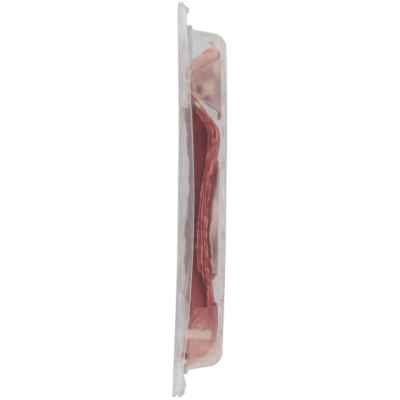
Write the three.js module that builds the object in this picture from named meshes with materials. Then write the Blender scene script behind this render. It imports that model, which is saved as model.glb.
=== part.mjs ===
// A sealed pack of cold cuts: a clear formed tray, a clear film sealed over its flange, and three sorts of
// sliced meat shingled along the tray. The pack lies on its base: X along it, Y across it, Z up.
// Lengths are in millimetres and angles in degrees.
import * as THREE from "three";

// Tray: outline, heights above the base, and bends
const LENGTH = 240;
const WIDTH = 165;
const RIM_HEIGHT = 28.5;
const FLANGE = 12.4;
const FLANGE_CORNER = 4;
const FLANGE_ROOT = 0.9;
const ROOT_BEND = 2;
const LEDGE_HEIGHT = 20.8;
const LEDGE = 2.6;
const LEDGE_BEND = 0.7;
const UNDERCUT = 0.3;
const DRAFT = 10;
const FOOT_RADIUS = 8.5;
const FOOT_STEPS = 3;
const FOOT_CORNER = 8.3;
const TRAY_SHEET = 0.5;

// Stiffening ribs pressed up across the base
const RIB_COUNT = 9;
const RIB_PITCH = 21;
const RIB_HEIGHT = 2.4;
const RIB_FOOT = 9;
const RIB_CROWN = 4;
const RIB_SPAN = 100;
const RIB_TAPER = 8;

// Warp: the ends lift, the flange's edge turns down, and the tray's -X end bends off the film for peeling
const END_LIFT = 1.9;
const LIFT_POWER = 1.4;
const FLAT_HALF = 30;
const CORNER_HANG = 3.6;
const MIDDLE_HANG = 9;
const HANG_POWER = { plus: 1.2, minus: 2.1 };
const END_HANG = 1;
const LIP_BEND = 3.5;
const PEEL_HANG = 3;
const PEEL_FROM = -107;
const PEEL_TO = -118;

// Lid film, lying on the flange with a hair of air under it
const FILM_SHEET = 0.2;
const SEAL_GAP = 0.3;
const FILM_GRID = { columns: 9, rows: 5, inset: 20 };

// Slices: each sheet lies in a cradle inside the tray that turns up along the walls. The end slice is laid
// first, closer in the tray's corners than the cradle and sunk beside the ribs.
const SLICE = 1.15;
const SLICE_GAP = 0.6;
const CRADLE_HEIGHT = 3.4;
const CRADLE_CROWN = 1.2;
const CRADLE_LEAN = 78;
const CRADLE_REACH = { long: 103, across: 66 };
const CRADLE_CORNER = 22;
const PILE_SEAT = { long: { flat: 88, radius: 13 }, across: { flat: 45, radius: 20 } };
const SNUG_SEAT = { long: { flat: 92, radius: 8.5 }, across: { flat: 54, radius: 9.5 } };
const SNUG_PAST = { from: 78, to: 94 };
const SINK = 2;
const SINK_PAST = { end: 88, endSunk: 92.5, side: 48, sideSunk: 53 };
const DRAPE = 8;
const RIPPLE = 0.025;
const RIPPLE_WAVES = 3;
const SKEW = 0.4;
const AIR = { height: 5, centre: -18, half: 62 };
const BUNCH = { height: 13, from: 40, to: 73 };
const CROWN = 14;
const UNEVEN = { shift: 1.4, turn: 2 };
const SWING_TO = -1;
const LYING = { columns: spread(11, 1), rows: mirrored([0.45, 0.72, 0.86, 1]) };
const TURNED_UP = { columns: spread(12, 1), rows: mirrored([0.5, 0.6, 0.68, 0.76, 0.84, 0.92, 1]) };
const SMALL_TURNED_UP = { columns: spread(9, 1), rows: TURNED_UP.rows };
const SNUG = {
  columns: [-1, -0.72, -0.5, -0.38, -0.27, -0.19, -0.12, -0.02, 0.1, 0.3, 0.52, 0.76, 1],
  rows: [-1, -0.85, -0.8, -0.75, -0.7, -0.66, -0.57, -0.47, 0, 0.5, 1],
};
const FAR_TURNED_UP = {
  columns: [...spread(7, 0.6).map((place) => place - 0.4), 0.34, 0.46, 0.56, 0.65, 0.73, 0.8, 0.87, 0.93, 1],
  rows: [-1, -0.93, -0.86, -0.5, -0.165, 0.2, 0.54, 0.66, 0.78, 0.9, 1],
};

// A seed stuck to the edges of the dark slices at their raised end, its length tilted up along the pack
const SEED = { x: 58.2, y: -49.5, z: 18, long: 2.7, deep: 1.1, high: 1.3, tilt: 40 };

const FLANGE_SHARES = [0.45, 0.72, 0.88, 1];
const RING_STEPS = { halfEnd: 3, corner: 6, side: 10 };

const DEGREE = Math.PI / 180;

function mirrored(values) {
  return [...values.map((value) => -value).reverse(), 0, ...values];
}

// Evenly spaced values from -half to half
function spread(count, half) {
  return Array.from({ length: count }, (_, i) => half * ((2 * i) / (count - 1) - 1));
}

function smooth(from, to, value) {
  const t = THREE.MathUtils.clamp((value - from) / (to - from), 0, 1);
  return t * t * (3 - 2 * t);
}

// The ends of the whole pack lift off the table, and the middle of the base stays flat
function endLift(x) {
  const beyond = Math.max(0, Math.abs(x) - FLAT_HALF);
  return END_LIFT * (beyond / (LENGTH / 2 - FLAT_HALF)) ** LIFT_POWER;
}

// Rounded rectangle, anticlockwise from the middle of the +X end
function ring(halfX, halfY, radius) {
  const points = [];
  const run = (x0, y0, x1, y1, steps) => {
    for (let i = 0; i < steps; i++) {
      points.push([x0 + ((x1 - x0) * i) / steps, y0 + ((y1 - y0) * i) / steps]);
    }
  };
  const turn = (x, y, start) => {
    for (let i = 0; i < RING_STEPS.corner; i++) {
      const angle = (start + (90 * i) / RING_STEPS.corner) * DEGREE;
      points.push([x + radius * Math.cos(angle), y + radius * Math.sin(angle)]);
    }
  };
  const x = halfX - radius;
  const y = halfY - radius;
  run(halfX, 0, halfX, y, RING_STEPS.halfEnd);
  turn(x, y, 0);
  run(x, halfY, -x, halfY, RING_STEPS.side);
  turn(-x, y, 90);
  run(-halfX, y, -halfX, -y, 2 * RING_STEPS.halfEnd);
  turn(-x, -y, 180);
  run(-x, -halfY, x, -halfY, RING_STEPS.side);
  turn(x, -y, 270);
  run(halfX, -y, halfX, 0, RING_STEPS.halfEnd);
  return points;
}

// An open sheet under construction: its points, its triangles facing up, and its outer edge
class Sheet {
  constructor() {
    this.points = [];
    this.triangles = [];
    this.edge = [];
  }

  add(x, y, z) {
    this.points.push(new THREE.Vector3(x, y, z));
    return this.points.length - 1;
  }

  quad(a, b, c, d) {
    this.triangles.push([a, b, c], [a, c, d]);
  }

  // Joins two rings of equal count
  bridge(inner, outer) {
    inner.forEach((from, i) => {
      const next = (i + 1) % inner.length;
      this.quad(from, outer[i], outer[next], inner[next]);
    });
  }

  // Joins two rings of different counts, keeping step by the share of each ring's length
  zip(inner, outer) {
    const shares = (loop) => {
      const sums = [0];
      loop.forEach((from, i) => {
        const to = loop[(i + 1) % loop.length];
        sums.push(sums[i] + this.points[from].distanceTo(this.points[to]));
      });
      return sums.map((sum) => sum / sums[loop.length]);
    };
    const innerShare = shares(inner);
    const outerShare = shares(outer);
    let i = 0;
    let o = 0;
    while (i < inner.length || o < outer.length) {
      const from = inner[i % inner.length];
      const to = outer[o % outer.length];
      const outerNext = o < outer.length && (i === inner.length || outerShare[o + 1] <= innerShare[i + 1]);
      if (outerNext) {
        o += 1;
        this.triangles.push([from, to, outer[o % outer.length]]);
      } else {
        i += 1;
        this.triangles.push([from, to, inner[i % inner.length]]);
      }
    }
  }

  // Fills a grid of points and returns its border, anticlockwise from the middle of the +X end
  grid(columns, rows, place) {
    const at = columns.map((column) => rows.map((row) => this.add(...place(column, row))));
    for (let i = 0; i + 1 < columns.length; i++) {
      for (let j = 0; j + 1 < rows.length; j++) {
        this.quad(at[i][j], at[i + 1][j], at[i + 1][j + 1], at[i][j + 1]);
      }
    }
    const lastColumn = columns.length - 1;
    const lastRow = rows.length - 1;
    const middle = Math.floor(rows.length / 2);
    return [
      ...at[lastColumn].slice(middle, lastRow),
      ...at.slice(1).reverse().map((column) => column[lastRow]),
      ...at[0].slice(1).reverse(),
      ...at.slice(0, lastColumn).map((column) => column[0]),
      ...at[lastColumn].slice(0, middle),
    ];
  }

  normals() {
    const sums = this.points.map(() => new THREE.Vector3());
    for (const [a, b, c] of this.triangles) {
      const side = new THREE.Vector3().subVectors(this.points[b], this.points[a]);
      const other = new THREE.Vector3().subVectors(this.points[c], this.points[a]);
      side.cross(other);
      for (const corner of [a, b, c]) sums[corner].add(side);
    }
    return sums.map((sum) => sum.normalize());
  }

  // Closed solid between the sheet and a copy of it raised along the normals
  thicken(thickness, normals = this.normals()) {
    const count = this.points.length;
    const raised = this.points.map((point, i) => point.clone().addScaledVector(normals[i], thickness));
    const index = [];
    for (const [a, b, c] of this.triangles) {
      index.push(a + count, b + count, c + count);
      index.push(c, b, a);
    }
    this.edge.forEach((from, i) => {
      const to = this.edge[(i + 1) % this.edge.length];
      index.push(from, to, to + count, from, to + count, from + count);
    });
    const geometry = new THREE.BufferGeometry().setFromPoints([...this.points, ...raised]);
    geometry.setIndex(index);
    geometry.computeVertexNormals();
    return geometry;
  }
}

// Where the tray's walls would meet the table, measured from the middle
const leanOut = Math.tan(DRAFT * DEGREE);
const ledgeReach = LEDGE_HEIGHT * leanOut + LEDGE;
const rootReach = ledgeReach + FLANGE_ROOT;
const footX = LENGTH / 2 - FLANGE - rootReach;
const footY = WIDTH / 2 - FLANGE - rootReach;
const footSetback = FOOT_RADIUS * Math.tan(((90 - DRAFT) / 2) * DEGREE);

// The tray's outer face from the edge of the base up to the flange root: reach beyond the foot, and height
function trayProfile() {
  const profile = [];
  for (let i = 0; i <= FOOT_STEPS; i++) {
    const angle = ((90 - DRAFT) * i * DEGREE) / FOOT_STEPS;
    profile.push([FOOT_RADIUS * Math.sin(angle) - footSetback, FOOT_RADIUS * (1 - Math.cos(angle))]);
  }
  const ledgeStart = LEDGE_HEIGHT * leanOut;
  profile.push([ledgeStart - LEDGE_BEND * leanOut, LEDGE_HEIGHT - LEDGE_BEND]);
  profile.push([ledgeStart + LEDGE_BEND, LEDGE_HEIGHT]);
  profile.push([ledgeReach - LEDGE_BEND, LEDGE_HEIGHT]);
  profile.push([ledgeReach, LEDGE_HEIGHT + LEDGE_BEND]);
  profile.push([ledgeReach - UNDERCUT, RIM_HEIGHT - ROOT_BEND]);
  profile.push([rootReach, RIM_HEIGHT]);
  return profile;
}

const ringAt = (reach) => ring(footX + reach, footY + reach, FOOT_CORNER + footSetback + reach);

// How far a point of the flange hangs below the rim: its outer part turns down, most on the long sides
function flangeHang(x, y) {
  const out = (size, root) => THREE.MathUtils.clamp((size - root - rootReach) / FLANGE, 0, 1);
  const power = x > 0 ? HANG_POWER.plus : HANG_POWER.minus;
  const side = THREE.MathUtils.lerp(MIDDLE_HANG, CORNER_HANG, Math.abs((2 * x) / LENGTH) ** power);
  return side * out(Math.abs(y), footY) ** LIP_BEND + END_HANG * out(x, footX) ** LIP_BEND;
}

// Extra bend of the tray's peel end, away from the film
function peelHang(x) {
  return PEEL_HANG * smooth(PEEL_FROM, PEEL_TO, x);
}

// The flange's rings, from just outside the root to the outer edge; drop gives the height lost at a point
function flangeRings(drop) {
  const rootRing = ringAt(rootReach);
  const edgeRing = ring(LENGTH / 2, WIDTH / 2, FLANGE_CORNER);
  return FLANGE_SHARES.map((share) =>
    rootRing.map(([rootX, rootY], i) => {
      const x = THREE.MathUtils.lerp(rootX, edgeRing[i][0], share);
      const y = THREE.MathUtils.lerp(rootY, edgeRing[i][1], share);
      return [x, y, RIM_HEIGHT - drop(x, y) + endLift(x)];
    }),
  );
}

function trayGeometry() {
  const sheet = new Sheet();
  const ribColumns = [];
  for (let i = 0; i < RIB_COUNT; i++) {
    const centre = (i - (RIB_COUNT - 1) / 2) * RIB_PITCH;
    for (const [offset, height] of [[-RIB_FOOT, 0], [-RIB_CROWN, 1], [RIB_CROWN, 1], [RIB_FOOT, 0]]) {
      ribColumns.push({ x: centre + offset / 2, height });
    }
  }
  const ribRows = [-RIB_SPAN / 2, RIB_TAPER - RIB_SPAN / 2, 0, RIB_SPAN / 2 - RIB_TAPER, RIB_SPAN / 2];
  const rise = (y) => (Math.abs(y) < RIB_SPAN / 2 ? RIB_HEIGHT : 0);
  let inner = sheet.grid(ribColumns, ribRows, (column, y) => [
    column.x, y, column.height * rise(y) + endLift(column.x),
  ]);
  trayProfile().forEach(([reach, height], level) => {
    const outer = ringAt(reach).map(([x, y]) => sheet.add(x, y, height + endLift(x)));
    if (level === 0) {
      sheet.zip(inner, outer);
    } else {
      sheet.bridge(inner, outer);
    }
    inner = outer;
  });
  for (const loop of flangeRings((x, y) => flangeHang(x, y) + peelHang(x))) {
    const outer = loop.map(([x, y, z]) => sheet.add(x, y, z));
    sheet.bridge(inner, outer);
    inner = outer;
  }
  sheet.edge = inner;
  return sheet.thicken(TRAY_SHEET);
}

function lidGeometry() {
  const sheet = new Sheet();
  const level = (x) => RIM_HEIGHT + endLift(x);
  const columns = spread(FILM_GRID.columns, footX + rootReach - FILM_GRID.inset);
  const rows = spread(FILM_GRID.rows, footY + rootReach - FILM_GRID.inset);
  let inner = sheet.grid(columns, rows, (x, y) => [x, y, level(x)]);
  const root = ringAt(rootReach).map(([x, y]) => sheet.add(x, y, level(x)));
  sheet.zip(inner, root);
  inner = root;
  for (const loop of flangeRings(flangeHang)) {
    const outer = loop.map(([x, y, z]) => sheet.add(x, y, z));
    sheet.bridge(inner, outer);
    inner = outer;
  }
  sheet.edge = inner;
  const normals = sheet.normals();
  sheet.points.forEach((point, i) => point.addScaledVector(normals[i], TRAY_SHEET + SEAL_GAP));
  return sheet.thicken(FILM_SHEET, normals);
}

// Run and rise of a line that lies flat, bends up and then leans on a wall, at a length along it
function upturn(length, { flat, radius }) {
  const size = Math.abs(length);
  const bend = radius * CRADLE_LEAN * DEGREE;
  const angle = THREE.MathUtils.clamp((size - flat) / radius, 0, CRADLE_LEAN * DEGREE);
  const straight = Math.max(0, size - flat - bend);
  const run = Math.min(size, flat) + radius * Math.sin(angle) + straight * Math.cos(angle);
  const rise = radius * (1 - Math.cos(angle)) + straight * Math.sin(angle);
  return { run: Math.sign(length) * run, rise };
}

// A seat between the pile's and the snug one
function seatBetween(side, share) {
  return {
    flat: THREE.MathUtils.lerp(PILE_SEAT[side].flat, SNUG_SEAT[side].flat, share),
    radius: THREE.MathUtils.lerp(PILE_SEAT[side].radius, SNUG_SEAT[side].radius, share),
  };
}

// How far a snug slice sinks, past the last rib and beside the ends of the ribs
function sinkAt(along, across) {
  const pastRibs = smooth(SINK_PAST.end, SINK_PAST.endSunk, Math.abs(along));
  return SINK * Math.max(pastRibs, smooth(SINK_PAST.side, SINK_PAST.sideSunk, Math.abs(across)));
}

// A point of the cradle, which is a little crowned, from lengths measured along it and across it
function cradle(along, across, snug) {
  const share = snug ? smooth(SNUG_PAST.from, SNUG_PAST.to, Math.abs(along)) : 0;
  const long = upturn(along, seatBetween("long", share));
  const wide = upturn(across, seatBetween("across", share));
  const cornerX = Math.max(0, Math.abs(long.run) - (CRADLE_REACH.long - CRADLE_CORNER)) / CRADLE_CORNER;
  const cornerY = Math.max(0, Math.abs(wide.run) - (CRADLE_REACH.across - CRADLE_CORNER)) / CRADLE_CORNER;
  const cutX = CRADLE_CORNER * cornerX * (1 - Math.sqrt(1 - cornerY ** 2 / 2));
  const cutY = CRADLE_CORNER * cornerY * (1 - Math.sqrt(1 - cornerX ** 2 / 2));
  const x = long.run - Math.sign(along) * cutX;
  const y = wide.run - Math.sign(across) * cutY;
  const rise = Math.cbrt(long.rise ** 3 + wide.rise ** 3);
  const inward = 1 - Math.min(1, Math.abs(across) / PILE_SEAT.across.flat);
  const crown = CRADLE_CROWN * Math.sin((inward * Math.PI) / 2) ** 2;
  const floor = CRADLE_HEIGHT + crown - share * sinkAt(along, across);
  return new THREE.Vector3(x, y, floor + rise + endLift(x));
}

function cradleNormal(along, across, snug) {
  const step = SLICE / 2;
  const long = cradle(along + step, across, snug).sub(cradle(along - step, across, snug));
  const wide = cradle(along, across + step, snug).sub(cradle(along, across - step, snug));
  return long.cross(wide).normalize();
}

// The pile above the cradle, millimetre by millimetre: the line it rests on, and the layers laid on that
const PILE_HALF = 140;
const PILE_PLACES = spread(2 * PILE_HALF + 1, PILE_HALF);
const layers = PILE_PLACES.map(() => 0);

// The middle of the pile arches off the base. The marbled slices are bunched up at the +X end, and hold up
// the dark ones that are laid on them.
function restLine(along, bunched) {
  const share = Math.min(1, Math.abs(along - AIR.centre) / AIR.half);
  const arch = AIR.height * Math.cos((share * Math.PI) / 2) ** 2;
  return arch + (bunched ? BUNCH.height * smooth(BUNCH.from, BUNCH.to, along) : 0);
}

// A slice bridges the steps in the layers below it
function drapeOver(heights) {
  const around = (i) => heights.slice(Math.max(0, i - DRAPE), i + DRAPE + 1);
  const mean = (list) => list.reduce((sum, value) => sum + value, 0) / list.length;
  return heights.map((_, i) => mean(around(i)));
}

// Lays one slice: its two ends along the pack, its near and far edges, how round its outline is, its grid,
// how far and from where its near edge swings out (or in, below zero) towards the -X end, how it is turned
// if not as it falls, whether its edges lie down on the base while its middle stays up, and its number
function layGeometry(slice, number) {
  const { sort, from, to, near, far, round, grid, swing = 0, swingFrom = -0.3, turned, crowned } = slice;
  const snug = grid === SNUG;
  const level = drapeOver(layers);
  const heightAt = (along) => {
    const place = THREE.MathUtils.clamp(along + PILE_HALF, 0, 2 * PILE_HALF - 1);
    const below = Math.floor(place);
    const layered = THREE.MathUtils.lerp(level[below], level[below + 1], place - below);
    return restLine(along, sort === "dark") + layered;
  };
  const half = (near + far) / 2;
  const crown = (across) => (crowned ? smooth(half, half - CROWN, Math.abs(across)) : 1);
  const centre = (from + to) / 2;
  const halfLong = (to - from) / 2;
  const shift = (far - near) / 2 + UNEVEN.shift * Math.sin(2.1 * number);
  const turn = (turned ?? UNEVEN.turn * Math.sin(1.7 * number)) * DEGREE;
  const normals = [];
  const place = (p, q) => {
    const angle = Math.atan2(q, p);
    const outward = Math.max(Math.abs(p), Math.abs(q));
    const ripple = 1 + RIPPLE * outward * Math.sin(RIPPLE_WAVES * angle + number);
    const long = halfLong * ripple * p * Math.sqrt(1 - round * q * q);
    const wide = half * ripple * q * Math.sqrt(1 - round * p * p);
    const along = centre + long * Math.cos(turn) - wide * Math.sin(turn) * SKEW;
    const swung = swing * Math.max(0, -q) ** 2 * smooth(swingFrom, SWING_TO, p);
    const across = shift + wide * Math.cos(turn) + long * Math.sin(turn) - swung;
    const normal = cradleNormal(along, across, snug);
    const point = cradle(along, across, snug).addScaledVector(normal, heightAt(along) * crown(across));
    normals.push(normal);
    return point.toArray();
  };
  const sheet = new Sheet();
  sheet.edge = sheet.grid(grid.columns, grid.rows, place);
  PILE_PLACES.forEach((along, i) => {
    if (along > from - DRAPE && along < to + DRAPE) {
      layers[i] = level[i] + SLICE + SLICE_GAP;
    }
  });
  return sheet.thicken(SLICE, normals);
}

function seedGeometry() {
  const geometry = new THREE.SphereGeometry(1, 8, 6);
  geometry.scale(SEED.long, SEED.deep, SEED.high);
  geometry.rotateY(-SEED.tilt * DEGREE);
  return geometry.translate(SEED.x, SEED.y, SEED.z);
}

// The slices in the order they are laid
const SLICES = [
  {
    sort: "rimmed", from: -119, to: -63, near: 77, far: 44, round: 0.18, grid: SNUG,
    swing: 9, swingFrom: 0.6,
  },
  {
    sort: "marbled", from: -50, to: 24, near: 60.5, far: 47, round: 0.25, grid: LYING,
    swing: 3, crowned: true,
  },
  {
    sort: "marbled", from: 49, to: 92, near: 77, far: 76, round: 0.46, turned: -3, grid: TURNED_UP,
    swing: -10, swingFrom: 0.2,
  },
  { sort: "marbled", from: 56, to: 100, near: 77, far: 76, round: 0.36, grid: TURNED_UP },
  { sort: "marbled", from: 60, to: 93, near: 74, far: 75, round: 0.44, grid: SMALL_TURNED_UP },
  { sort: "dark", from: -82, to: 68, near: 53, far: 73, round: 0.06, swing: 6, grid: FAR_TURNED_UP },
  { sort: "dark", from: -58, to: 65, near: 53, far: 74, round: 0.1, swing: 6, grid: FAR_TURNED_UP },
  { sort: "dark", from: -52, to: 61, near: 54, far: 73, round: 0.1, swing: 6, grid: FAR_TURNED_UP },
  { sort: "dark", from: -46, to: 57, near: 53, far: 72, round: 0.1, swing: 6, grid: FAR_TURNED_UP },
  { sort: "dark", from: -76, to: 58, near: 74, far: 73, round: 0.03, turned: -3, grid: TURNED_UP },
  { sort: "rimmed", from: -104, to: -26, near: 73, far: 74, round: 0.2, grid: TURNED_UP },
  { sort: "rimmed", from: -97, to: -34, near: 73, far: 72, round: 0.2, grid: TURNED_UP },
  { sort: "rimmed", from: -90, to: -44, near: 74, far: 71, round: 0.2, grid: SMALL_TURNED_UP },
];
const COLOURS = { marbled: 0xc99790, dark: 0x7c3436, rimmed: 0xb4706c };

const clear = { transparent: true, opacity: 0.3, roughness: 0.08, side: THREE.DoubleSide };
const materials = {
  tray: new THREE.MeshStandardMaterial({ color: 0xdfe2e2, ...clear }),
  film: new THREE.MeshStandardMaterial({ color: 0xeceeee, ...clear }),
  seed: new THREE.MeshStandardMaterial({ color: 0xbfa86b, roughness: 0.5 }),
};

const pack = new THREE.Group();
pack.name = "cold_cuts_pack";

function addPart(name, geometry, material) {
  const mesh = new THREE.Mesh(geometry, material);
  mesh.name = name;
  pack.add(mesh);
}

addPart("tray", trayGeometry(), materials.tray);
addPart("lid_film", lidGeometry(), materials.film);
const laid = { marbled: 0, dark: 0, rimmed: 0 };
SLICES.forEach((slice, number) => {
  laid[slice.sort] += 1;
  const meat = new THREE.MeshStandardMaterial({ color: COLOURS[slice.sort], roughness: 0.45 });
  addPart(`${slice.sort}_slice_${laid[slice.sort]}`, layGeometry(slice, number), meat);
});
addPart("seed", seedGeometry(), materials.seed);

export default pack;
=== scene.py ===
import math

import bpy
import numpy as np
from mathutils import Matrix


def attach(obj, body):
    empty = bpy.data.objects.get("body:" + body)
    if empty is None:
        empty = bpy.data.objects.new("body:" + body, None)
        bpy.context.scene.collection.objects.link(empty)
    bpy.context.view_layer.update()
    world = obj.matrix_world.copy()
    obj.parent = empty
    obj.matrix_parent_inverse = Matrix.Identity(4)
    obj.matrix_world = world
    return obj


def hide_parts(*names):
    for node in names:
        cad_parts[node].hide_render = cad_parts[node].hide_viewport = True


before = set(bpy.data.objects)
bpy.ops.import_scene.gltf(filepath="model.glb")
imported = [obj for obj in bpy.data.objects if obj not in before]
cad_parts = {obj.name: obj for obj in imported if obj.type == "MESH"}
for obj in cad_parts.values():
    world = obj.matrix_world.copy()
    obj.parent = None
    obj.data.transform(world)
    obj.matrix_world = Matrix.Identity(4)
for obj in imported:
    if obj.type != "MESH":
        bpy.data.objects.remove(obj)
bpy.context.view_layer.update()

# Tray
# One sheet of clear plastic half a millimetre thick, drawn hot into a mould: ribs pressed up across the base,
# a rounded foot, drafted walls, a stacking ledge and a flange. The flange's long edges turn down, the ends of
# the pack lift a little, and the -X end is bent off the film for peeling. Sizes are in millimetres.
MM = 0.001
LENGTH = 240.0
WIDTH = 165.0
RIM_HEIGHT = 28.5
FLANGE = 12.4
FLANGE_CORNER = 4.0
FLANGE_ROOT = 0.9
FLANGE_STEPS = 16
LEDGE_HEIGHT = 20.8
LEDGE = 2.6
LEDGE_BEND = 0.7
UNDERCUT = 0.3
DRAFT = math.radians(10)
FOOT_RADIUS = 8.5
FOOT_CORNER = 8.3
CORNER_STEPS = 24
TRAY_SHEET = 0.5
TRAY_STEP = 1.5

RIB_PITCH = 21.0
RIB_LAST = 4
RIB_HEIGHT = 2.4
RIB_FOOT = 9.0
RIB_CROWN = 4.0
RIB_SPAN = 100.0
RIB_TAPER = 8.0

END_LIFT = 1.9
LIFT_POWER = 1.4
FLAT_HALF = 30.0
CORNER_HANG = 3.6
MIDDLE_HANG = 9.0
HANG_POWER = {"plus": 1.2, "minus": 2.1}
END_HANG = 1.0
LIP_BEND = 3.5
PEEL_HANG = 3.0
PEEL_FROM = -107.0
PEEL_TO = -118.0
NUB = {"x": 114.8, "depth": 2.3, "top": 0.9, "foot": 3.6, "root": -78.5, "edge": -81.5}

lean_out = math.tan(DRAFT)
ledge_start = LEDGE_HEIGHT * lean_out
ledge_reach = ledge_start + LEDGE
root_reach = ledge_reach + FLANGE_ROOT
foot_setback = FOOT_RADIUS * math.tan((math.pi / 2 - DRAFT) / 2)
foot = np.array([LENGTH, WIDTH]) / 2 - FLANGE - root_reach
core = foot - foot_setback - FOOT_CORNER
root_corner = FOOT_CORNER + foot_setback + root_reach


def smooth(start, end, value):
    share = np.clip((value - start) / (end - start), 0, 1)
    return share * share * (3 - 2 * share)


def end_lift(x):
    beyond = np.maximum(0, np.abs(x) - FLAT_HALF) / (LENGTH / 2 - FLAT_HALF)
    return END_LIFT * beyond**LIFT_POWER


def rib_rise(x, y):
    rib = np.clip(np.round(x / RIB_PITCH), -RIB_LAST, RIB_LAST)
    across = smooth(RIB_FOOT / 2, RIB_CROWN / 2, np.abs(x - rib * RIB_PITCH))
    return RIB_HEIGHT * across * smooth(RIB_SPAN / 2, RIB_SPAN / 2 - RIB_TAPER, np.abs(y))


def rounded_fill(corner, step):
    """Fills a rounded rectangle about the tray's core with a grid: its points, its faces and its border."""
    bend = core[1] + corner * np.sin(np.linspace(0, math.pi / 2, CORNER_STEPS + 1)[1:])
    rows = np.concatenate([-bend[::-1], np.linspace(-core[1], core[1], round(2 * core[1] / step)), bend])
    beyond = np.maximum(0, np.abs(rows) - core[1])
    reach = core[0] + np.sqrt(np.maximum(0, corner**2 - beyond**2))
    x = np.outer(reach, np.linspace(-1, 1, round(2 * core[0] / step)))
    y = np.broadcast_to(rows[:, None], x.shape)
    at = np.arange(x.size).reshape(x.shape)
    faces = np.stack([at[:-1, :-1], at[:-1, 1:], at[1:, 1:], at[1:, :-1]], axis=-1).reshape(-1, 4)
    border = np.concatenate([at[0, :-1], at[:-1, -1], at[-1, :0:-1], at[:0:-1, 0]])
    return np.stack([x.ravel(), y.ravel()], axis=-1), faces, border


def turned_line(corners, bends, steps, spacing):
    """A line whose corners are turned by arcs, with points no further apart than the spacing."""
    line = []
    for before, corner, after, bend in zip(corners, corners[1:], corners[2:], bends):
        back = (before - corner) / np.linalg.norm(before - corner)
        ahead = (after - corner) / np.linalg.norm(after - corner)
        weight = math.sin(math.acos(np.dot(back, ahead)) / 2)
        for share in np.linspace(0, 1, steps + 1):
            parts = np.array([(1 - share) ** 2, 2 * share * (1 - share) * weight, share**2])
            arc = np.array([corner + bend * back, corner, corner + bend * ahead])
            line.append(parts @ arc / parts.sum())
    spaced = []
    for start, end in zip(line, line[1:]):
        pieces = math.ceil(np.linalg.norm(end - start) / spacing)
        spaced.extend(start + (end - start) * i / pieces for i in range(pieces))
    return spaced[1:] + line[-1:]


def flange_hang(x, y):
    out = np.clip((np.array([x, np.abs(y)]) - foot[:, None] - root_reach) / FLANGE, 0, 1) ** LIP_BEND
    power = np.where(x > 0, HANG_POWER["plus"], HANG_POWER["minus"])
    side = MIDDLE_HANG + (CORNER_HANG - MIDDLE_HANG) * np.abs(2 * x / LENGTH) ** power
    return side * out[1] + END_HANG * out[0]


def peel_hang(x):
    return PEEL_HANG * smooth(PEEL_FROM, PEEL_TO, x)


def nub_hang(x, y):
    along = smooth(NUB["foot"], NUB["top"], np.abs(x - NUB["x"]))
    return NUB["depth"] * along * smooth(NUB["root"], NUB["edge"], y)


# The plastic is cloudy where it is sealed, and where the ribs and the foot are drawn thin. It turns clear
# between two heights up the foot.
SEAL_CLOUD = 0.04
RIB_CLOUD = 0.25
FOOT_CLOUD = 0.07
FOOT_CLEARS = (1.5, 5.0)


class Sheet:
    """An open sheet that starts as a filled outline and grows outwards ring by ring."""

    def __init__(self, flat, heights, faces, border, cloudy=0.0):
        self.points = [np.column_stack([flat, heights])]
        self.cloudy = [np.zeros(len(flat)) + cloudy]
        self.faces = [faces]
        self.border = border
        self.count = len(flat)
        self.anchor = np.clip(flat[border], -core, core)
        outward = flat[border] - self.anchor
        self.outward = outward / np.linalg.norm(outward, axis=1)[:, None]

    def grow(self, x, y, z, cloudy):
        ring = self.count + np.arange(len(x))
        inner = self.border
        self.faces.append(np.stack([inner, ring, np.roll(ring, -1), np.roll(inner, -1)], axis=-1))
        self.points.append(np.column_stack([x, y, z]))
        self.cloudy.append(np.full(len(x), cloudy))
        self.border = ring
        self.count += len(ring)

    def grow_flange(self, hang):
        """Adds the flange's rings, from the root to the edge."""
        root = self.anchor + root_corner * self.outward
        half = np.array([LENGTH, WIDTH]) / 2 - FLANGE_CORNER
        edge = self.anchor * half / core + FLANGE_CORNER * self.outward
        for share in np.linspace(0, 1, FLANGE_STEPS + 1)[1:]:
            x, y = (root + (edge - root) * share).T
            self.grow(x, y, RIM_HEIGHT + end_lift(x) - hang(x, y), SEAL_CLOUD)

    def made(self):
        cloudy = np.tile(np.concatenate(self.cloudy), 2)
        return np.concatenate(self.points), np.concatenate(self.faces), {"cloudy_share": cloudy}


def sheet_normals(points, faces):
    corners = points[faces]
    crossed = np.cross(corners[:, 2] - corners[:, 0], corners[:, 3] - corners[:, 1])
    sums = np.zeros_like(points)
    for corner in range(4):
        np.add.at(sums, faces[:, corner], crossed)
    return sums / np.linalg.norm(sums, axis=1)[:, None]


SHARP_EDGE = math.radians(50)


def closed_sheet(name, points, faces, normals, thickness, facts):
    """Makes a solid of a sheet: its lower face, a copy raised along the normals, and the edge between. The
    facts are values of each point that its material reads. Returns the piece and its number of edge faces."""
    count = len(points)
    sides = np.concatenate([np.roll(faces, -i, axis=1)[:, :2] for i in range(4)])
    open_side = ~np.isin(sides[:, 0] * count + sides[:, 1], sides[:, 1] * count + sides[:, 0])
    start, end = sides[open_side].T
    edge = np.stack([start, end, end + count, start + count], axis=-1)
    mesh = bpy.data.meshes.new(name)
    both = np.concatenate([points, points + normals * thickness]) * MM
    mesh.from_pydata(both, [], np.concatenate([faces[:, ::-1], faces + count, edge]).tolist())
    mesh.shade_smooth()
    mesh.set_sharp_from_angle(angle=SHARP_EDGE)
    for fact, values in facts.items():
        kind = "FLOAT_VECTOR" if values.ndim == 2 else "FLOAT"
        field = "vector" if values.ndim == 2 else "value"
        data = mesh.attributes.new(fact, kind, "POINT").data
        data.foreach_set(field, values.astype(np.float32).ravel())
    piece = bpy.data.objects.new(name, mesh)
    bpy.context.scene.collection.objects.link(piece)
    return piece, len(edge)


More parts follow.
